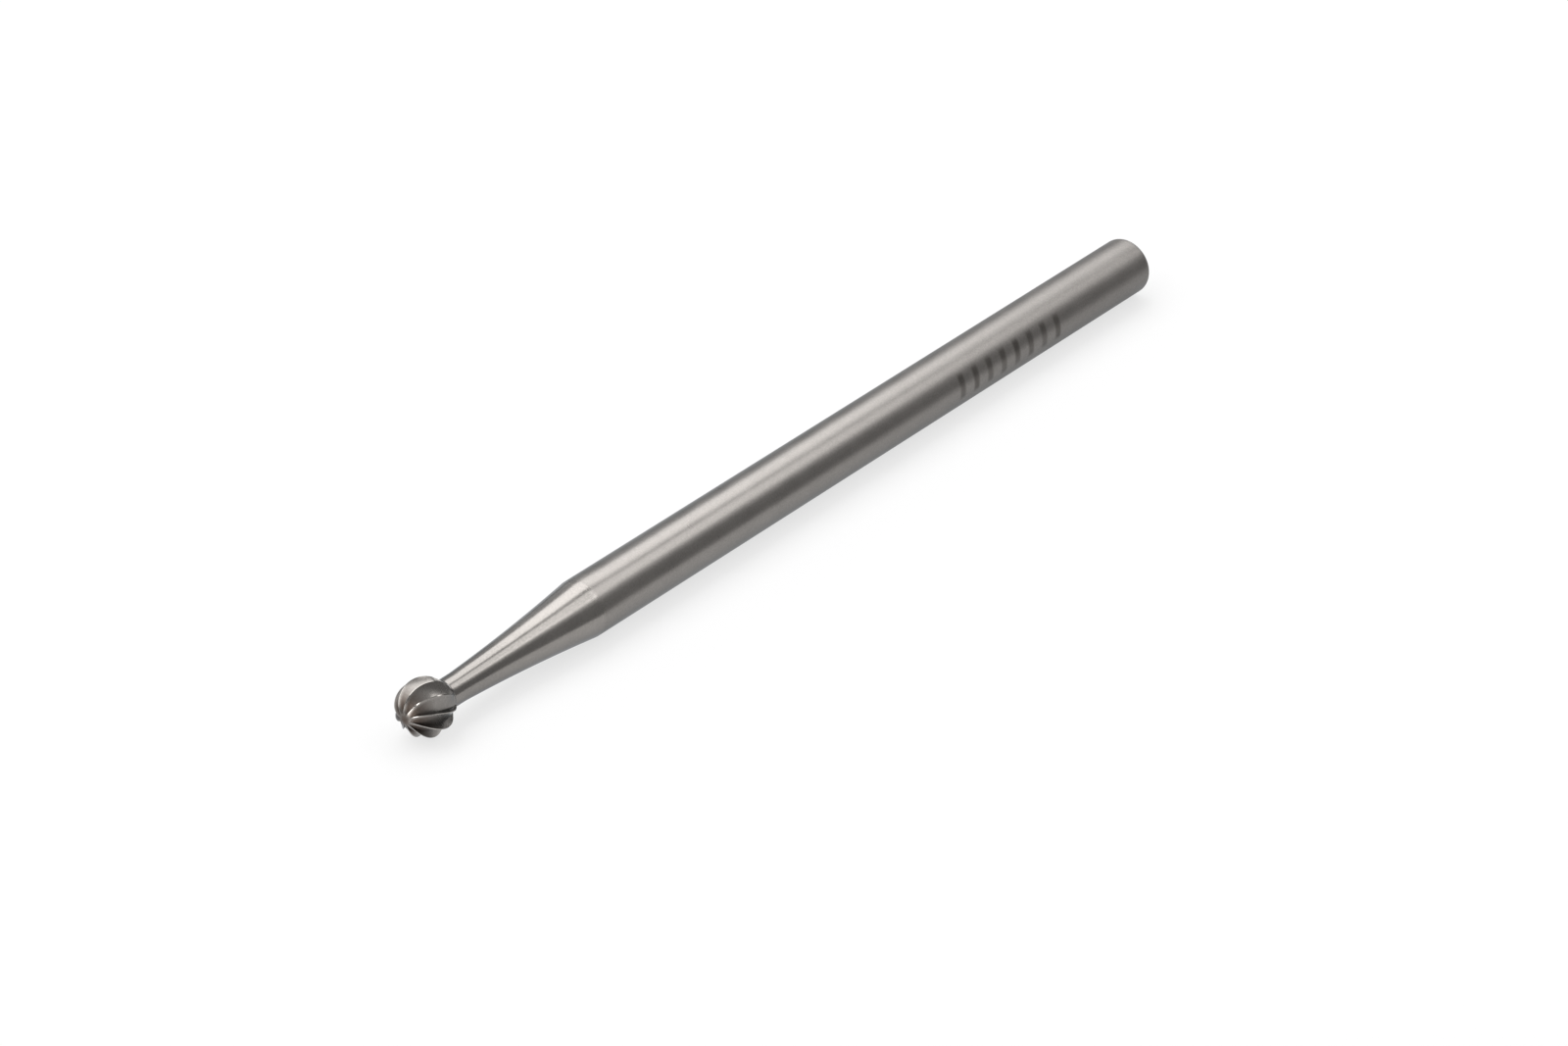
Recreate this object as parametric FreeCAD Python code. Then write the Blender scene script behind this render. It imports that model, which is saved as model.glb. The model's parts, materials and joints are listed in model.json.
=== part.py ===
"""Round bur with a straight handpiece shank, turned and ground from one steel rod.

Millimetres, +Z up. The bur lies along X: its cutting tip points to -X and the shank to +X.
The origin is on the axis, at the shoulder where the cylindrical shank begins.
"""
import FreeCAD, Part
import math
import os

from FreeCAD import Vector

# Lengths along the axis
overall_length = 44.5       # tip of the ball to the end of the shank
head_and_neck_length = 9.78 # tip of the ball to the shoulder where the shank begins
neck_length = 2.89          # tip of the ball to the place where the neck begins to widen

# Diameters of the turned blank
shank_diameter = 2.35
ball_diameter = 2.24
neck_diameter = 1.16

# Curves of the turned blank
taper_hollow = 0.063        # how far the widening neck lies inside the straight line, halfway along
root_fillet = 0.22          # between the ball and its neck
end_rounding = 0.31         # edge of the shank's end

# Teeth
tooth_count = 10
tooth_slope = 0.31          # turn of a cutting edge about the axis, per radian from tip to neck
first_edge = math.radians(-43)      # turn at which one cutting edge crosses the ball's widest circle
flute_depth = 0.28          # at the widest circle
rake_lean = 0.03            # how far the steep face of a tooth leans out at its foot
land_width = 0.045          # ground strip of the ball behind a cutting edge, at the widest circle
back_hollow = 0.035         # how far a tooth's back lies inside the straight line, halfway along
tip_lead = 0.012            # how far ahead of the tip the floors of the flutes would meet
flute_start = math.radians(8)       # angle from the tip where a flute's cutter begins, ahead of the tip
flute_end = math.radians(152)       # angle from the tip where a flute's cutter has left the ball
flute_sections = 13
runout_clearance = 0.03     # between the neck and the flutes' floor where they leave the ball
least_height_share = 0.12   # least height of a flute's cutter, as a part of its floor's radius
back_share = 0.8            # part of a cutter's back that lies inside the ball

# Places that follow from the sizes
tip_x = -head_and_neck_length
end_x = tip_x + overall_length
shank_radius = shank_diameter / 2
ball_radius = ball_diameter / 2
neck_radius = neck_diameter / 2
ball_x = tip_x + ball_radius
tooth_pitch = 2 * math.pi / tooth_count


def on_profile(x, radius):
    """A point of the turned outline, drawn in the plane of X and Z."""
    return Vector(x, 0, radius)


def around_axis(x, radius, turn):
    """A point at a turn about the axis, from +Z towards +Y."""
    return Vector(x, radius * math.sin(turn), radius * math.cos(turn))


def root_fillet_points():
    """Where the fillet leaves the ball, its middle, and where it meets the neck."""
    centre_radius = neck_radius + root_fillet
    reach = ball_radius + root_fillet
    centre = on_profile(ball_x + math.sqrt(reach ** 2 - centre_radius ** 2), centre_radius)
    ball_centre = on_profile(ball_x, 0)
    towards_ball = (ball_centre - centre).normalize()
    towards_neck = Vector(0, 0, -1)
    towards_middle = (towards_ball + towards_neck).normalize()
    return [centre + direction * root_fillet for direction in (towards_ball, towards_middle, towards_neck)]


def turned_blank():
    """The rod after turning: ball, neck, hollow taper, shank and rounded end."""
    tip = on_profile(tip_x, 0)
    ball_top = on_profile(ball_x, ball_radius)
    fillet_start, fillet_middle, fillet_end = root_fillet_points()
    neck_end = on_profile(tip_x + neck_length, neck_radius)
    shoulder = on_profile(0, shank_radius)
    taper_line = (shoulder - neck_end).normalize()
    inwards = Vector(taper_line.z, 0, -taper_line.x)
    taper_middle = (neck_end + shoulder) * 0.5 + inwards * taper_hollow
    shank_end = on_profile(end_x - end_rounding, shank_radius)
    rounding_centre = on_profile(end_x - end_rounding, shank_radius - end_rounding)
    rounding_middle = rounding_centre + Vector(1, 0, 1).normalize() * end_rounding
    face_edge = on_profile(end_x, shank_radius - end_rounding)
    face_centre = on_profile(end_x, 0)
    outline = [
        Part.Arc(tip, ball_top, fillet_start),
        Part.Arc(fillet_start, fillet_middle, fillet_end),
        Part.LineSegment(fillet_end, neck_end),
        Part.Arc(neck_end, taper_middle, shoulder),
        Part.LineSegment(shoulder, shank_end),
        Part.Arc(shank_end, rounding_middle, face_edge),
        Part.LineSegment(face_edge, face_centre),
        Part.LineSegment(face_centre, tip),
    ]
    face = Part.Face(Part.Wire([curve.toShape() for curve in outline]))
    return face.revolve(Vector(0, 0, 0), Vector(1, 0, 0), 360)


def section_x(angle):
    """Where the plane of a flute's section lies, for an angle from the tip seen from the ball's centre."""
    reach = ball_radius + tip_lead if angle < math.pi / 2 else ball_radius
    return ball_x - reach * math.cos(angle)


def ball_level(x):
    """Radius of the ball in the plane at x, nothing ahead of its tip."""
    return math.sqrt(max(0, ball_radius ** 2 - (x - ball_x) ** 2))


def floor_level(angle):
    """Radius of a flute's floor: shallow at the tip, deepest at the widest circle, above the neck behind."""
    deepest = ball_radius - flute_depth
    if angle < math.pi / 2:
        return deepest * math.sin(angle)
    leaving = neck_radius + runout_clearance
    return leaving + (deepest - leaving) * math.sin(angle) ** 2


def flute_section(angle):
    """Cross-section of a flute cutter, square to the axis: steep face, hollow back, outer arc.

    The back rises from the floor to the next cutting edge, passes through it and ends outside the ball.
    """
    x = section_x(angle)
    floor_radius = floor_level(angle)
    edge_radius = max(ball_level(x), floor_radius * (1 + least_height_share))
    edge_turn = first_edge - tooth_slope * (angle - math.pi / 2)
    next_turn = edge_turn + tooth_pitch - land_width / ball_radius
    floor = around_axis(x, floor_radius, edge_turn + rake_lean / floor_radius * math.sin(angle))
    next_edge = around_axis(x, edge_radius, next_turn)
    straight_middle = (floor + next_edge) * 0.5
    inwards = Vector(0, -straight_middle.y, -straight_middle.z).normalize()
    bend = straight_middle + inwards * 2 * back_hollow * math.sin(angle)
    share = back_share
    control = (bend - floor * (1 - share)) * (1 / share)
    outer_back = (next_edge - floor * (1 - share) ** 2 - control * 2 * share * (1 - share)) * (1 / share ** 2)
    back = Part.BezierCurve()
    back.setPoles([floor, control, outer_back])
    outside = math.hypot(outer_back.y, outer_back.z)
    edge = around_axis(x, edge_radius, edge_turn)
    outer_face = floor + (edge - floor) * ((outside - floor_radius) / (edge_radius - floor_radius))
    outer_middle = around_axis(x, outside, edge_turn + tooth_pitch / 2)
    sides = [
        Part.LineSegment(outer_face, floor),
        back,
        Part.Arc(outer_back, outer_middle, outer_face),
    ]
    return Part.Wire([side.toShape() for side in sides])


def flute_cutter():
    """What the grinding wheel takes away between two neighbouring cutting edges."""
    span = flute_end - flute_start
    angles = [flute_start + span * step / (flute_sections - 1) for step in range(flute_sections)]
    return Part.makeLoft([flute_section(angle) for angle in angles], True)


def bur():
    """The turned blank with its flutes ground one after the other, evenly around the axis."""
    ground = turned_blank()
    cutter = flute_cutter()
    for tooth in range(tooth_count):
        copy = cutter.copy()
        copy.rotate(Vector(0, 0, 0), Vector(-1, 0, 0), math.degrees(tooth * tooth_pitch))
        ground = ground.cut(copy)
    return ground


os.makedirs("parts", exist_ok=True)
shape = bur()
solid = shape.Solids[0]
solid.exportStep("parts/round_bur.step")
print("solids", len(shape.Solids), "valid", shape.isValid(), "volume", round(solid.Volume, 4), "mm3")
print("box", solid.optimalBoundingBox())
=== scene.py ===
import json
import math

import bmesh
import bpy
from bpy.props import FloatProperty, FloatVectorProperty, IntProperty, PointerProperty
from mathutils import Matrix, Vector


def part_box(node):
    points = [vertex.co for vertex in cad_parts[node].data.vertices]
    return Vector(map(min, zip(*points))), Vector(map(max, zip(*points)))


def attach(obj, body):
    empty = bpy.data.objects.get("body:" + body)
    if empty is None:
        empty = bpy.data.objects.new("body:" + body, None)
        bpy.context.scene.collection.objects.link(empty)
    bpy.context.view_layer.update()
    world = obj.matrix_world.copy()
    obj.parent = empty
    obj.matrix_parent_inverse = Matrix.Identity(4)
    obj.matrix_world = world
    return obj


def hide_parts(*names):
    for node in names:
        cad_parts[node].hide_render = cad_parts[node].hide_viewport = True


bl_info = {
    "name": "Round Bur",
    "version": (1, 0, 0),
    "blender": (4, 5, 0),
    "location": "View3D > Sidebar > Round Bur",
    "description": "Builds the finished surface of a round bur, and a pale studio table around it",
    "category": "Add Mesh",
}

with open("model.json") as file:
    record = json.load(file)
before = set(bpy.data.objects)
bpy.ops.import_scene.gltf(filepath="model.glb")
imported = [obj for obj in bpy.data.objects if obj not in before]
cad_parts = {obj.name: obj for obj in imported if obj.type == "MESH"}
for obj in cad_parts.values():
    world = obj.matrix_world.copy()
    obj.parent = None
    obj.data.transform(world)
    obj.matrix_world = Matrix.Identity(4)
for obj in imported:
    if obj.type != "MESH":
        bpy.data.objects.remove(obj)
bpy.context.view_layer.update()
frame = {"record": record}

MM = 0.001
NODE = "round_bur"
TIP_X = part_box(NODE)[0].x
END_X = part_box(NODE)[1].x
SHANK = next(mount for mount in frame["record"]["mounts"] if mount["name"] == "shank")
SHANK_RADIUS = SHANK["dims"]["r_mm"] * MM


class BurSizes(bpy.types.PropertyGroup):
    """Sizes of the turned blank and of its ground teeth."""

    ball_radius: FloatProperty(
        name="Ball Radius", description="Radius of the cutting ball",
        default=1.12 * MM, unit="LENGTH")
    neck_radius: FloatProperty(
        name="Neck Radius", description="Radius of the neck at its slimmest",
        default=0.58 * MM, unit="LENGTH")
    neck_length: FloatProperty(
        name="Neck Length", description="From the tip to where the neck begins to widen",
        default=2.89 * MM, unit="LENGTH")
    taper_hollow: FloatProperty(
        name="Taper Hollow", description="How far the taper lies inside a straight cone",
        default=0.063 * MM, unit="LENGTH")
    root_fillet: FloatProperty(
        name="Root Fillet", description="Radius between the ball and its neck",
        default=0.22 * MM, unit="LENGTH")
    end_rounding: FloatProperty(
        name="End Rounding", description="Radius of the shank's end edge",
        default=0.31 * MM, unit="LENGTH")
    tooth_count: IntProperty(
        name="Teeth", description="Number of cutting edges", default=10, min=2)
    tooth_slope: FloatProperty(
        name="Tooth Slope", description="Turn of an edge per radian from tip to neck", default=0.31)
    first_edge: FloatProperty(
        name="First Edge", description="Turn of one edge at the widest circle",
        default=math.radians(-43), subtype="ANGLE")
    flute_depth: FloatProperty(
        name="Flute Depth", description="Depth of a flute at the widest circle",
        default=0.28 * MM, unit="LENGTH")
    rake_lean: FloatProperty(
        name="Rake Lean", description="How far a steep face leans out at its foot",
        default=0.03 * MM, unit="LENGTH")
    land_width: FloatProperty(
        name="Land Width", description="Strip of the ball behind a cutting edge",
        default=0.045 * MM, unit="LENGTH")
    back_hollow: FloatProperty(
        name="Back Hollow", description="How far a tooth's back lies inside a straight line",
        default=0.035 * MM, unit="LENGTH")
    tip_lead: FloatProperty(
        name="Tip Lead", description="How far ahead of the ball the flutes' floors meet",
        default=0.006 * MM, unit="LENGTH")
    runout_clearance: FloatProperty(
        name="Run-out Clearance", description="Between the neck and the flutes' floor",
        default=0.03 * MM, unit="LENGTH")
    flute_end: FloatProperty(
        name="Flute End", description="Angle from the tip where the flutes have run out",
        default=math.radians(152), subtype="ANGLE")


class BurFinish(bpy.types.PropertyGroup):
    """Colours and finish of the steel, with a stain that also paints shade into the tip."""

    steel: FloatVectorProperty(
        name="Steel", description="Colour of the ground steel",
        default=(0.258, 0.2435, 0.230), min=0, max=1, subtype="COLOR")
    shank_roughness: FloatProperty(
        name="Shank Roughness", description="Satin of the ground shank", default=0.30)
    taper_roughness: FloatProperty(
        name="Taper Roughness", description="Satin of the turned taper", default=0.22)
    flute_roughness: FloatProperty(
        name="Flute Roughness", description="Satin of the ground flutes", default=0.26)
    # A brown stain that also paints shade: it darkens the flutes towards the tip and the spot over the pole
    stain_and_shade: FloatVectorProperty(
        name="Stain", description="Tint that the flutes take on towards the tip",
        default=(0.33, 0.272, 0.24), min=0, max=1, subtype="COLOR")
    etch: FloatVectorProperty(
        name="Etch", description="Colour of the etched bars",
        default=(0.045, 0.038, 0.03), min=0, max=1, subtype="COLOR")


class BurStage(bpy.types.PropertyGroup):
    """Table and camera."""

    table: FloatVectorProperty(
        name="Table", description="Colour of the table",
        default=(0.2, 0.2, 0.2), min=0, max=1, subtype="COLOR")
    white: FloatProperty(
        name="White", description="Light that the table adds for the eye and for reflections", default=0.7)
    camera_distance: FloatProperty(
        name="Camera Distance", description="From the camera to what it aims at",
        default=232.7 * MM, unit="LENGTH")
    camera_azimuth: FloatProperty(
        name="Camera Azimuth", description="Direction of the camera from the bur",
        default=math.radians(-141.87), subtype="ANGLE")
    camera_elevation: FloatProperty(
        name="Camera Elevation", description="Height of the camera above the table",
        default=math.radians(30.06), subtype="ANGLE")
    lens: FloatProperty(
        name="Lens", description="Focal length on a 36 mm wide frame, in millimetres", default=140.0)


# The turned blank, with how many rings of the skin each stretch of its outline gets

BALL_RINGS = 96
FILLET_RINGS = 10
NECK_RINGS = 4
TAPER_RINGS = 28
SHANK_RINGS = 24
ROUNDING_RINGS = 10
FACE_RINGS = 6
FACE_MIDDLE_SHARE = 0.1     # radius of the end face's last ring, as a part of the shank's


def arc(centre, radius, start, end, steps):
    """Points of an arc in the plane of X and radius, without its first."""
    turns = [start + (end - start) * step / steps for step in range(1, steps + 1)]
    return [(centre[0] + radius * math.cos(turn), centre[1] + radius * math.sin(turn)) for turn in turns]


def line(start, end, steps):
    """Evenly spaced points from start to end, without the first."""
    shares = [step / steps for step in range(1, steps + 1)]
    return [(start[0] + (end[0] - start[0]) * s, start[1] + (end[1] - start[1]) * s) for s in shares]


def hollow_taper(start, end, hollow, steps):
    """An arc that bends inwards by hollow halfway, without its first point."""
    half = math.dist(start, end) / 2
    radius = (half ** 2 + hollow ** 2) / (2 * hollow)
    middle = ((start[0] + end[0]) / 2, (start[1] + end[1]) / 2)
    slope = math.atan2(end[1] - start[1], end[0] - start[0])
    outwards = (-math.sin(slope), math.cos(slope))
    reach = radius - hollow
    centre = (middle[0] + outwards[0] * reach, middle[1] + outwards[1] * reach)
    spread = math.asin(half / radius)
    down = slope - math.pi / 2
    return arc(centre, radius, down - spread, down + spread, steps)


def blank_outline(sizes):
    """Outline of the turned blank, tip to end, as (x, radius), with the ball in fine steps."""
    ball_x = TIP_X + sizes.ball_radius
    fillet_level = sizes.neck_radius + sizes.root_fillet
    reach = sizes.ball_radius + sizes.root_fillet
    fillet_x = ball_x + math.sqrt(reach ** 2 - fillet_level ** 2)
    leaving = math.atan2(fillet_level, fillet_x - ball_x)
    points = arc((ball_x, 0), sizes.ball_radius, math.pi, leaving, BALL_RINGS)
    points += arc((fillet_x, fillet_level), sizes.root_fillet, math.pi + leaving, 1.5 * math.pi,
                  FILLET_RINGS)
    points += line(points[-1], (TIP_X + sizes.neck_length, sizes.neck_radius), NECK_RINGS)
    points += hollow_taper(points[-1], (0, SHANK_RADIUS), sizes.taper_hollow, TAPER_RINGS)
    points += line(points[-1], (END_X - sizes.end_rounding, SHANK_RADIUS), SHANK_RINGS)
    corner = (END_X - sizes.end_rounding, SHANK_RADIUS - sizes.end_rounding)
    points += arc(corner, sizes.end_rounding, math.pi / 2, 0, ROUNDING_RINGS)
    points += line(points[-1], (END_X, FACE_MIDDLE_SHARE * SHANK_RADIUS), FACE_RINGS)
    return points


# The ground teeth

RAKE_STEPS = 4              # points down a tooth's steep face
BACK_STEPS = 12             # points up its back
LAND_STEPS = 2              # points across its land
LEAST_HEIGHT_SHARE = 0.12   # least height of a flute's section, as a part of its floor's radius
SHARP_ANGLE = math.radians(14)      # edges that turn by more than this stay sharp


def flute_floor(sizes, angle):
    """Radius of a flute's floor at an angle from the tip."""
    deepest = sizes.ball_radius - sizes.flute_depth
    if angle < math.pi / 2:
        return deepest * math.sin(angle)
    leaving = sizes.neck_radius + sizes.runout_clearance
    return leaving + (deepest - leaving) * math.sin(angle) ** 2


def around(radius, turn):
    """A point at a turn about the axis, from +Z towards +Y."""
    return Vector((radius * math.sin(turn), radius * math.cos(turn)))


def tooth_section(sizes, radius, angle):
    """One tooth space in a plane across the axis: the steep face down, the back up, the land."""
    floor_level = flute_floor(sizes, angle)
    height = max(radius - floor_level, LEAST_HEIGHT_SHARE * floor_level)
    edge_level = floor_level + height
    pitch = 2 * math.pi / sizes.tooth_count
    foot = sizes.rake_lean / floor_level * math.sin(angle)
    edge = around(edge_level, 0)
    floor = around(floor_level, foot)
    land = pitch - sizes.land_width / sizes.ball_radius
    next_edge = around(edge_level, land)
    middle = (floor + next_edge) / 2
    bend = middle - middle.normalized() * 2 * sizes.back_hollow * math.sin(angle)
    points = [edge.lerp(floor, step / RAKE_STEPS) for step in range(RAKE_STEPS)]
    for step in range(BACK_STEPS + 1):
        share = step / BACK_STEPS
        points.append(floor.lerp(bend, share).lerp(bend.lerp(next_edge, share), share))
    points += [around(edge_level, land + (pitch - land) * step / LAND_STEPS) for step in range(1, LAND_STEPS)]
    return [(math.atan2(point.x, point.y), min(point.length, radius)) for point in points]


def ring_points(sizes, x, radius):
    """The bur's section at x, as points ordered around the axis."""
    ahead = TIP_X + sizes.ball_radius - x
    reach = sizes.ball_radius + (sizes.tip_lead if ahead > 0 else 0)
    angle = min(math.acos(max(-1, min(1, ahead / reach))), sizes.flute_end)
    section = tooth_section(sizes, radius, angle)
    start = sizes.first_edge - sizes.tooth_slope * (angle - math.pi / 2)
    pitch = 2 * math.pi / sizes.tooth_count
    fluted = angle < sizes.flute_end
    points = []
    for tooth in range(sizes.tooth_count):
        for turn, level in section:
            point = around(level if fluted else radius, start + tooth * pitch + turn)
            points.append(Vector((x, point.x, point.y)))
    return points


def next_ring(mesh, ring):
    """Extrudes a closed ring of vertices once and gives the new ring in the same order."""
    edges = [mesh.edges.get((ring[i - 1], ring[i])) for i in range(len(ring))]
    made = bmesh.ops.extrude_edge_only(mesh, edges=edges)
    fresh = {item for item in made["geom"] if isinstance(item, bmesh.types.BMVert)}
    return [next(e.other_vert(v) for e in v.link_edges if e.other_vert(v) in fresh) for v in ring]


def close_ring(mesh, ring, centre):
    """Closes the mesh over a ring with a fan to a centre point."""
    edges = [mesh.edges.get((ring[i - 1], ring[i])) for i in range(len(ring))]
    face = bmesh.ops.contextual_create(mesh, geom=edges)["faces"]
    hub = bmesh.ops.poke(mesh, faces=face)["verts"][0]
    hub.co = centre


def bur_mesh(sizes):
    """The whole bur as one closed skin, ring by ring along its outline."""
    outline = blank_outline(sizes)
    mesh = bmesh.new()
    count = len(ring_points(sizes, *outline[0]))
    ring = bmesh.ops.create_circle(mesh, segments=count, radius=1)["verts"]
    first = ring
    for step, (x, radius) in enumerate(outline):
        if step:
            ring = next_ring(mesh, ring)
        for vertex, point in zip(ring, ring_points(sizes, x, radius)):
            vertex.co = point
    close_ring(mesh, first, (TIP_X, 0, 0))
    close_ring(mesh, ring, (END_X, 0, 0))
    bmesh.ops.recalc_face_normals(mesh, faces=mesh.faces)
    for face in mesh.faces:
        face.smooth = True
    for edge in mesh.edges:
        edge.smooth = not (edge.is_manifold and edge.calc_face_angle() > SHARP_ANGLE)
    return mesh


# Shader expressions

class Value:
    """A node socket that takes part in Python arithmetic."""

    def __init__(self, nodes, socket):
        self.nodes = nodes
        self.socket = socket

    def math(self, operation, *others):
        return self.nodes.add("ShaderNodeMath", {"operation": operation}, [self, *others])

    def __add__(self, other):
        return self.math("ADD", other)

    __radd__ = __add__

    def __mul__(self, other):
        return self.math("MULTIPLY", other)

    __rmul__ = __mul__

    def __sub__(self, other):
        return self.math("SUBTRACT", other)

    def __rsub__(self, other):
        return self.nodes.add("ShaderNodeMath", {"operation": "SUBTRACT"}, [other, self])

    def __truediv__(self, other):
        return self.math("DIVIDE", other)


class Nodes:
    """Adds nodes to one material or world."""

    def __init__(self, tree):
        self.tree = tree
        tree.nodes.clear()

    def add(self, kind, settings=None, inputs=(), output=0):
        """A node of that kind, its settings made first, its inputs given by place or by name."""
        node = self.tree.nodes.new(kind)
        for name, value in (settings or {}).items():
            setattr(node, name, value)
        pairs = inputs.items() if isinstance(inputs, dict) else enumerate(inputs)
        for key, value in pairs:
            if isinstance(value, Value):
                self.tree.links.new(value.socket, node.inputs[key])
            else:
                node.inputs[key].default_value = value
        return Value(self, node.outputs[output]) if node.outputs else node

    def smooth(self, value, low, high):
        """0 below low, 1 above high, smooth between them."""
        return self.add("ShaderNodeMapRange", {"interpolation_type": "SMOOTHSTEP"},
                        {"Value": value, "From Min": low, "From Max": high})

    def noise(self, place, scale, detail):
        """Soft noise round one half, with that many bumps a metre."""
        return self.add("ShaderNodeTexNoise", {}, {"Vector": place, "Scale": scale, "Detail": detail})

    def window(self, value, low, high, soft):
        """1 between low and high, 0 outside, smooth over twice soft at either end."""
        above_low = self.smooth(value, low - soft, low + soft)
        above_high = self.smooth(value, high - soft, high + soft)
        return above_low * (1.0 - above_high)

    def blend(self, factor, first, second):
        """first where factor is 0, second where it is 1, as colours."""
        return self.add("ShaderNodeMix", {"data_type": "RGBA"}, {0: factor, 6: first, 7: second}, output=2)

    def read(self, name):
        """The number that mark_head wrote on the skin under that name."""
        return self.add("ShaderNodeAttribute", {"attribute_name": name}, output=2)


def with_alpha(colour):
    """A colour as a shader's socket takes it."""
    return (*colour, 1.0)


def new_material(name):
    """An empty material, and the writer of its nodes."""
    material = bpy.data.materials.new(name)
    material.use_nodes = True
    return material, Nodes(material.node_tree)


# Plain equal bars, etched across the shank near its end

BARS = 8
BARS_START = 21.5 * MM
BAR_PITCH = 0.9 * MM
BAR_SHARE = 0.36            # width of a bar, as a part of the pitch
BAR_TURNS = (math.radians(-104), math.radians(-54))     # about the axis, from +Z towards +Y
BAR_SIDE_SOFTNESS = 0.1     # of a bar's long sides, as a part of the pitch
BAR_ROW_SOFTNESS = 0.01     # of the row's two ends, as a part of the pitch
BAR_END_SOFTNESS = math.radians(6)
BAR_STRENGTH = 0.52
BAR_UNEVENNESS = 0.8


def etched_bars(nodes, x, y, z):
    """1 on the bars etched across the shank, 0 beside them."""
    along = (x - BARS_START) / BAR_PITCH
    cell = nodes.add("ShaderNodeMath", {"operation": "FRACT"}, [along])
    turn = nodes.add("ShaderNodeMath", {"operation": "ARCTAN2"}, [y, z])
    return (nodes.window(cell, 0.5 - BAR_SHARE / 2, 0.5 + BAR_SHARE / 2, BAR_SIDE_SOFTNESS)
            * nodes.window(along, 0, BARS, BAR_ROW_SOFTNESS)
            * nodes.window(turn, *BAR_TURNS, BAR_END_SOFTNESS))


# The steel: bumps a metre of its noises, and the stretches of X over which the finish, its painted shade and
# its painted highlights change

RING_SCALE = (38000.0, 1500.0, 1500.0)
CLOUD_SCALE = 900.0
GRAIN_SCALE = 16000.0
SHOULDER_STEP = (-0.02 * MM, 0.02 * MM)
TAPER_BRIGHTENS = (-7 * MM, -1.5 * MM)
SHANK_DULLS = (2 * MM, 36 * MM)
TIP_FADES = (TIP_X + 0.1 * MM, TIP_X + 0.95 * MM)
# Painted shade: a dark spot over the pole of the tip
POLE_SHADE_SPOT = (TIP_X - 0.01 * MM, TIP_X + 0.06 * MM)
POLE_WOBBLE = 0.06 * MM
LAND_MARK = (0.35, 1.0)     # where the mark of the lands counts, from nothing to all

# What each part adds to the steel's brightness, painted highlights and shade among them
BRIGHTNESS = 0.93
TAPER_BRIGHTNESS = 0.15
SHANK_BRIGHTNESS = -0.08
END_BRIGHTNESS = -0.12
# Darker in the flutes, partly oxide and partly painted shade
FLUTE_BRIGHTNESS = -0.05
# Painted highlight on the lands, strongest near the tip, standing for their glints
LAND_HIGHLIGHT = 0.08
TIP_LAND_HIGHLIGHT = 0.35
CLOUD_BRIGHTNESS = 0.2
GRAIN_BRIGHTNESS = 0.35

# What each part adds to its roughness, and the depth of its grinding lines
END_ROUGHNESS = 0.13
STAIN_AND_SHADE_ROUGHNESS = 0.2
LAND_ROUGHNESS = -0.1
RING_ROUGHNESS = 0.10
CLOUD_ROUGHNESS = 0.08
RING_DEPTH = 0.004 * MM
RING_STRENGTH = 0.35
GRAZING_TINT = (0.64, 0.67, 0.70)


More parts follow.
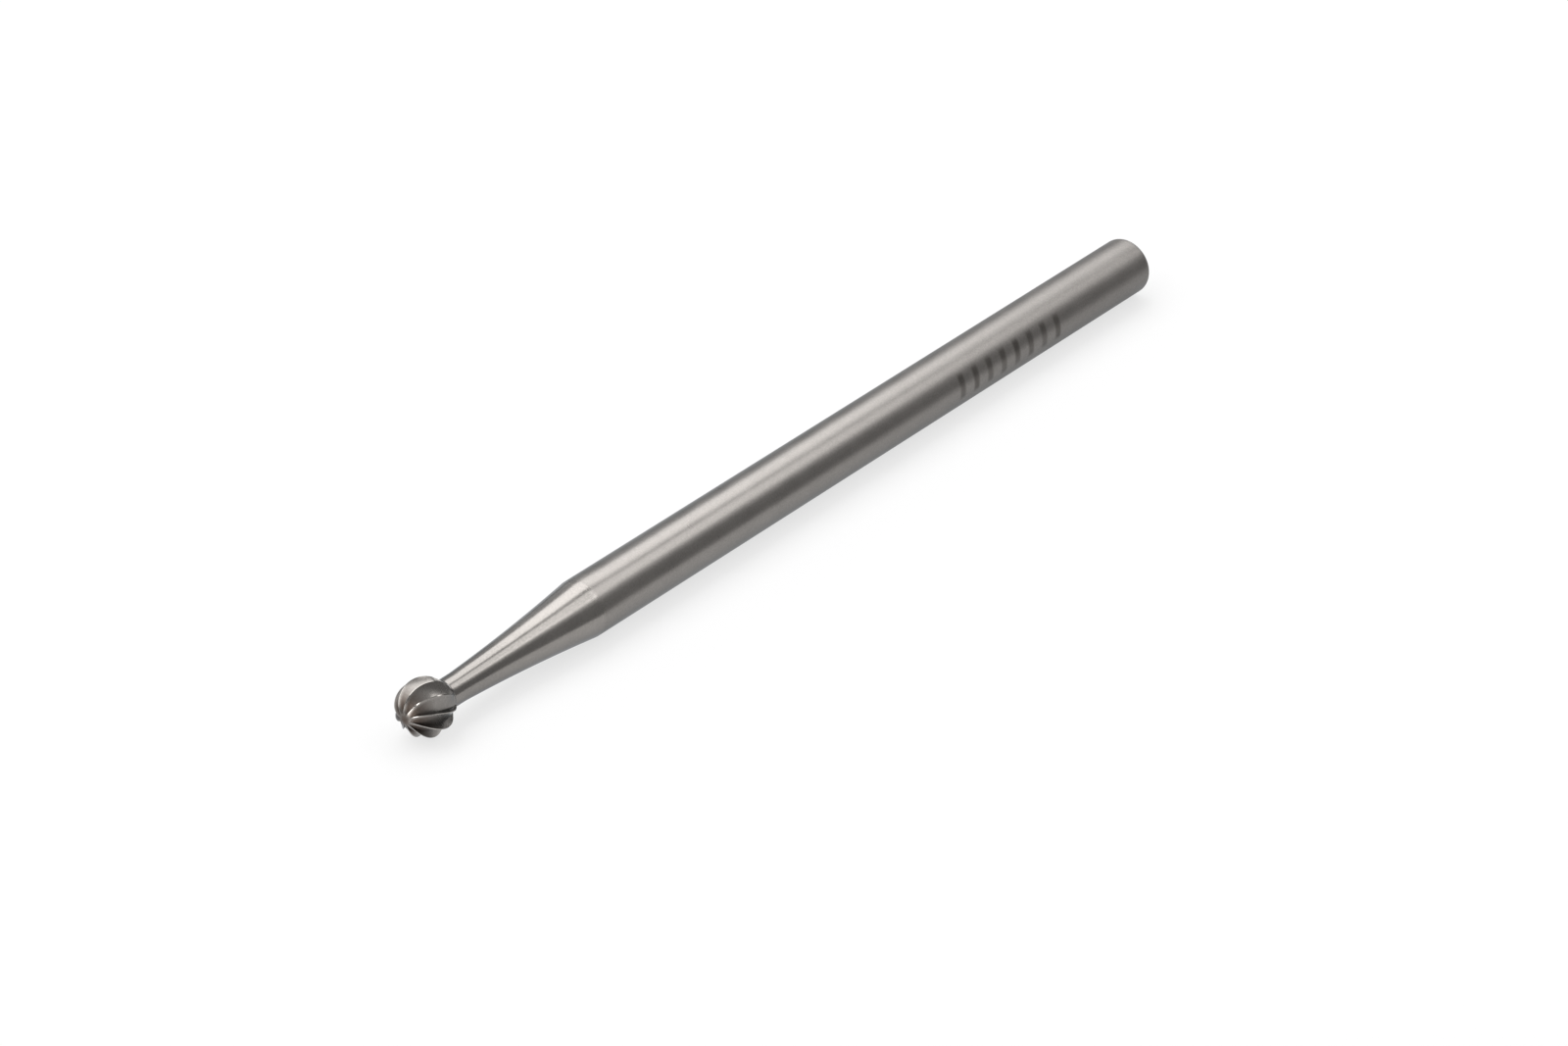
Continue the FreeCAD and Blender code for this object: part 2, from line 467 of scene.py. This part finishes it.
def ground_steel(finish):
    """Satin steel with fine grinding lines: bright taper, duller end, smoother lands with a painted
    highlight, and a stained tip darkened with painted shade.
    """
    material, nodes = new_material("ground_steel")
    place = nodes.add("ShaderNodeTexCoord", output=3)
    split = nodes.add("ShaderNodeSeparateXYZ", {}, [place])
    x, y, z = (Value(nodes, socket) for socket in split.socket.node.outputs)

    stretched = nodes.add("ShaderNodeVectorMath", {"operation": "MULTIPLY"}, [place, RING_SCALE])
    rings = nodes.noise(stretched, 1.0, 3.0) - 0.5
    cloud = nodes.noise(place, CLOUD_SCALE, 3.0) - 0.5
    grain = nodes.noise(place, GRAIN_SCALE, 1.0) - 0.5

    on_shank = nodes.smooth(x, *SHOULDER_STEP)
    towards_shoulder = nodes.smooth(x, *TAPER_BRIGHTENS)
    towards_end = nodes.smooth(x, *SHANK_DULLS)
    near_tip = 1.0 - nodes.smooth(x, *TIP_FADES)
    # Painted shade over the pole of the tip, kept off the lands below
    pole_shade = 1.0 - nodes.smooth(x + cloud * POLE_WOBBLE, *POLE_SHADE_SPOT)
    fluted = nodes.read("flute")
    land = nodes.smooth(nodes.read("land"), *LAND_MARK) * (1.0 - pole_shade)
    # Stain in the flutes near the tip, partly real stain and partly painted shade; the pole's painted shade
    # joins it
    stained_and_shaded = nodes.add("ShaderNodeMath", {"operation": "MAXIMUM"}, [fluted * near_tip, pole_shade])

    # Painted highlight on the lands and a little painted shade in the flutes are part of this brightness
    brightness = (BRIGHTNESS + towards_shoulder * TAPER_BRIGHTNESS + on_shank * SHANK_BRIGHTNESS
                  + towards_end * END_BRIGHTNESS + fluted * FLUTE_BRIGHTNESS
                  + land * (near_tip * TIP_LAND_HIGHLIGHT + LAND_HIGHLIGHT)
                  + cloud * CLOUD_BRIGHTNESS + grain * GRAIN_BRIGHTNESS)
    shade = nodes.add("ShaderNodeVectorMath", {"operation": "SCALE"}, {0: finish.steel, "Scale": brightness})
    tint = nodes.blend(stained_and_shaded, (1, 1, 1, 1), with_alpha(finish.stain_and_shade))
    shade = nodes.add("ShaderNodeVectorMath", {"operation": "MULTIPLY"}, [shade, tint])
    bars = etched_bars(nodes, x, y, z) * (cloud * BAR_UNEVENNESS + BAR_STRENGTH)
    shade = nodes.blend(bars, shade, with_alpha(finish.etch))

    roughness = (finish.taper_roughness
                 + on_shank * (finish.shank_roughness - finish.taper_roughness)
                 + fluted * (finish.flute_roughness - finish.taper_roughness)
                 + towards_end * END_ROUGHNESS + stained_and_shaded * STAIN_AND_SHADE_ROUGHNESS + land * LAND_ROUGHNESS
                 + rings * RING_ROUGHNESS + cloud * CLOUD_ROUGHNESS)
    bump = nodes.add("ShaderNodeBump", {}, {
        "Strength": RING_STRENGTH, "Distance": RING_DEPTH, "Height": rings})
    shader = nodes.add("ShaderNodeBsdfPrincipled", {}, {
        "Base Color": shade, "Metallic": 1.0, "Specular Tint": with_alpha(GRAZING_TINT),
        "Roughness": roughness, "Normal": bump})
    nodes.add("ShaderNodeOutputMaterial", {}, [shader])
    return material


def keep(mesh, name, material):
    """Turns a bmesh into an object of the scene, at the origin."""
    data = bpy.data.meshes.new(name)
    mesh.to_mesh(data)
    mesh.free()
    data.materials.append(material)
    thing = bpy.data.objects.new(name, data)
    bpy.context.scene.collection.objects.link(thing)
    return thing


# The marks on the head that the finish reads

HEAD_REACH = 0.8            # how far behind the ball's middle the marks go, as a part of its radius
LEAST_GIRTH = 0.02          # least girth by which a flute's depth is told, as a part of the ball's
FULL_FLUTE = 1 / 3          # share of the flutes' depth at which the mark is full
LAND_DEPTH = 0.003          # share of the flutes' depth down to which the skin is still a land


def mark_head(thing, sizes):
    """Marks the flutes and the ground lands between them."""
    flute = thing.data.attributes.new("flute", "FLOAT", "POINT")
    land = thing.data.attributes.new("land", "FLOAT", "POINT")
    ball = Vector((TIP_X + sizes.ball_radius, 0, 0))
    for vertex in thing.data.vertices:
        if vertex.co.x > ball.x + HEAD_REACH * sizes.ball_radius:
            continue
        ahead = min(1.0, (ball.x - vertex.co.x) / sizes.ball_radius)
        local_depth = max(LEAST_GIRTH, math.sqrt(1 - ahead ** 2)) * sizes.flute_depth
        depth = (sizes.ball_radius - (vertex.co - ball).length) / local_depth
        flute.data[vertex.index].value = max(0.0, min(1.0, depth / FULL_FLUTE))
        land.data[vertex.index].value = float(depth < LAND_DEPTH)


class BUR_OT_body(bpy.types.Operator):
    """Build the bur: toothed ball, neck, hollow taper and ground shank in one piece of steel"""

    bl_idname = "bur.body"
    bl_label = "Bur"

    def execute(self, context):
        sizes = context.scene.bur_sizes
        material = ground_steel(context.scene.bur_finish)
        bur = keep(bur_mesh(sizes), "ground_bur", material)
        mark_head(bur, sizes)
        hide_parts(NODE)
        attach(bur, "root")
        return {"FINISHED"}


# The studio

CAMERA_AIM = Vector((11.98, -0.09, -1.762)) * MM
SENSOR_WIDTH = 36.0         # in millimetres
CLIP_START = 0.01
ROOM_LIGHT = 0.32           # what the dim room gives to all but the eye
TABLE_REACH = 0.45          # from the table's middle to its edges
LAMPS = [
    # name, X of the aim, azimuth, elevation, distance, length, width, radiance, in metres and degrees
    ("back_strip", 0.1, 90, 65.5, 0.5, 1.4, 0.40, 2.45),
    ("front_strip", 0.51, -90, 65.5, 0.5, 0.58, 0.27, 1.85),
    ("side_strip", 0.31, -90, 49, 0.5, 0.18, 0.09, 1.4),
    ("overhead", 0.2, 90, 78, 0.6, 2.2, 3.0, 0.35),
    ("far_wall", TIP_X, 88, 13, 0.6, 0.7, 0.25, 0.95),
    ("tip_panel", TIP_X, 184, 15, 0.4, 0.14, 0.16, 2.0),
    ("tip_lamp", TIP_X, 185, 42, 0.4, 0.08, 0.10, 6.0),
    ("end_panel", END_X, 12, 10, 0.3, 0.13, 0.085, 2.6),
]
# The first card hides the far table and the horizon from the shank, the others light
# the lands beside the tip and the lower flutes
CARDS = [
    # name, radiance, corners as X, Y and height above the table, in millimetres
    ("dark_card", 0.3, [(0, -6, 0), (80, -6, 0), (400, -200, 13.2), (40, -200, 13.2)]),
    ("tip_card", 7.0, [(-12.8, -0.3, 0.02), (-12.8, -3, 0.02), (-23.8, -6, 0.02), (-23.8, 1, 0.02)]),
    ("ball_card", 1.4, [(-7.2, 1.5, 0.02), (-7.2, -1.6, 0.02), (-11.5, -1.6, 0.02), (-11.5, 1.5, 0.02)]),
]


def direction(azimuth, elevation):
    """Unit vector towards an azimuth from +X and an elevation above the table."""
    level = math.cos(elevation)
    return Vector((level * math.cos(azimuth), level * math.sin(azimuth), math.sin(elevation)))


def pale_material(stage):
    """Table that is lit by the lamps and adds white for the eye and for reflections, keeping the shadow."""
    material, nodes = new_material("table")
    path = nodes.add("ShaderNodeLightPath")
    rays = path.socket.node.outputs
    seen = Value(nodes, rays["Is Camera Ray"]) + Value(nodes, rays["Is Glossy Ray"])
    seen = nodes.add("ShaderNodeMath", {"operation": "ADD", "use_clamp": True},
                     [seen, Value(nodes, rays["Is Transmission Ray"])])
    glow = nodes.add("ShaderNodeEmission", {}, {"Color": (1, 1, 1, 1), "Strength": seen * stage.white})
    matt = nodes.add("ShaderNodeBsdfDiffuse", {}, {"Color": with_alpha(stage.table)})
    both = nodes.add("ShaderNodeAddShader", {}, [glow, matt])
    nodes.add("ShaderNodeOutputMaterial", {}, [both])
    return material


def table(stage):
    """A square table that the shank lies on."""
    mesh = bmesh.new()
    bmesh.ops.create_grid(mesh, x_segments=1, y_segments=1, size=TABLE_REACH)
    bmesh.ops.translate(mesh, verts=mesh.verts, vec=(0, 0, -SHANK_RADIUS))
    keep(mesh, "table", pale_material(stage))


def look_from(thing, aim, azimuth, elevation, distance):
    """Puts a lamp or a camera at a distance from its aim, looking at it."""
    towards = direction(azimuth, elevation)
    thing.location = aim + towards * distance
    thing.rotation_euler = towards.to_track_quat("Z", "Y").to_euler()
    bpy.context.scene.collection.objects.link(thing)


def lamp(name, aim_x, azimuth, elevation, distance, length, width, radiance):
    """A soft panel aimed at the bur's axis, as bright as its radiance says."""
    light = bpy.data.lights.new(name, "AREA")
    light.shape = "RECTANGLE"
    light.size = length
    light.size_y = width
    light.energy = radiance * math.pi * length * width
    thing = bpy.data.objects.new(name, light)
    look_from(thing, Vector((aim_x, 0, 0)), math.radians(azimuth), math.radians(elevation), distance)


def card(name, radiance, corners):
    """A flat card, as bright as its radiance says, that only reflections see."""
    material, nodes = new_material(name)
    glow = nodes.add("ShaderNodeEmission", {}, {"Color": (1, 1, 1, 1), "Strength": radiance})
    nodes.add("ShaderNodeOutputMaterial", {}, [glow])
    mesh = bmesh.new()
    points = [Vector((x, y, height)) * MM - Vector((0, 0, SHANK_RADIUS)) for x, y, height in corners]
    bmesh.ops.contextual_create(mesh, geom=[mesh.verts.new(point) for point in points])
    thing = keep(mesh, name, material)
    thing.visible_camera = False
    thing.visible_diffuse = False
    thing.visible_transmission = False
    thing.visible_shadow = False


def room():
    """World light: white for the eye, a dimmer room for everything else."""
    world = bpy.data.worlds.new("room")
    bpy.context.scene.world = world
    world.use_nodes = True
    nodes = Nodes(world.node_tree)
    path = nodes.add("ShaderNodeLightPath")
    seen = Value(nodes, path.socket.node.outputs["Is Camera Ray"])
    strength = seen * (1.0 - ROOM_LIGHT) + ROOM_LIGHT
    glow = nodes.add("ShaderNodeBackground", {}, {"Color": (1, 1, 1, 1), "Strength": strength})
    nodes.add("ShaderNodeOutputWorld", {}, [glow])


def camera(stage):
    """The camera, at its distance and angle from its aim."""
    data = bpy.data.cameras.new("camera")
    data.lens = stage.lens
    data.sensor_width = SENSOR_WIDTH
    data.clip_start = CLIP_START
    thing = bpy.data.objects.new("camera", data)
    look_from(thing, CAMERA_AIM, stage.camera_azimuth, stage.camera_elevation, stage.camera_distance)
    bpy.context.scene.camera = thing


class BUR_OT_stage(bpy.types.Operator):
    """Set the bur on a pale table under soft lamps, and place the camera"""

    bl_idname = "bur.stage"
    bl_label = "Stage"

    def execute(self, context):
        stage = context.scene.bur_stage
        table(stage)
        room()
        for lamp_sizes in LAMPS:
            lamp(*lamp_sizes)
        for card_sizes in CARDS:
            card(*card_sizes)
        camera(stage)
        context.scene.view_settings.view_transform = "Standard"
        return {"FINISHED"}


class BUR_PT_panel(bpy.types.Panel):
    """Lists the bur's sizes, finish and stage"""

    bl_idname = "BUR_PT_panel"
    bl_label = "Round Bur"
    bl_space_type = "VIEW_3D"
    bl_region_type = "UI"
    bl_category = "Round Bur"

    def draw(self, context):
        layout = self.layout
        for operator in OPERATORS:
            layout.operator(operator.bl_idname)
        for group in (context.scene.bur_sizes, context.scene.bur_finish, context.scene.bur_stage):
            box = layout.box()
            for name in group.__annotations__:
                box.prop(group, name)


GROUPS = {"bur_sizes": BurSizes, "bur_finish": BurFinish, "bur_stage": BurStage}
OPERATORS = [BUR_OT_body, BUR_OT_stage]


def register():
    for group in (*GROUPS.values(), *OPERATORS, BUR_PT_panel):
        bpy.utils.register_class(group)
    for name, group in GROUPS.items():
        setattr(bpy.types.Scene, name, PointerProperty(type=group))


def unregister():
    for name in GROUPS:
        delattr(bpy.types.Scene, name)
    for group in (BUR_PT_panel, *reversed(OPERATORS), *reversed(GROUPS.values())):
        bpy.utils.unregister_class(group)


def main():
    register()
    bpy.ops.bur.body()
    bpy.ops.bur.stage()


if __name__ == "__main__":
    main()
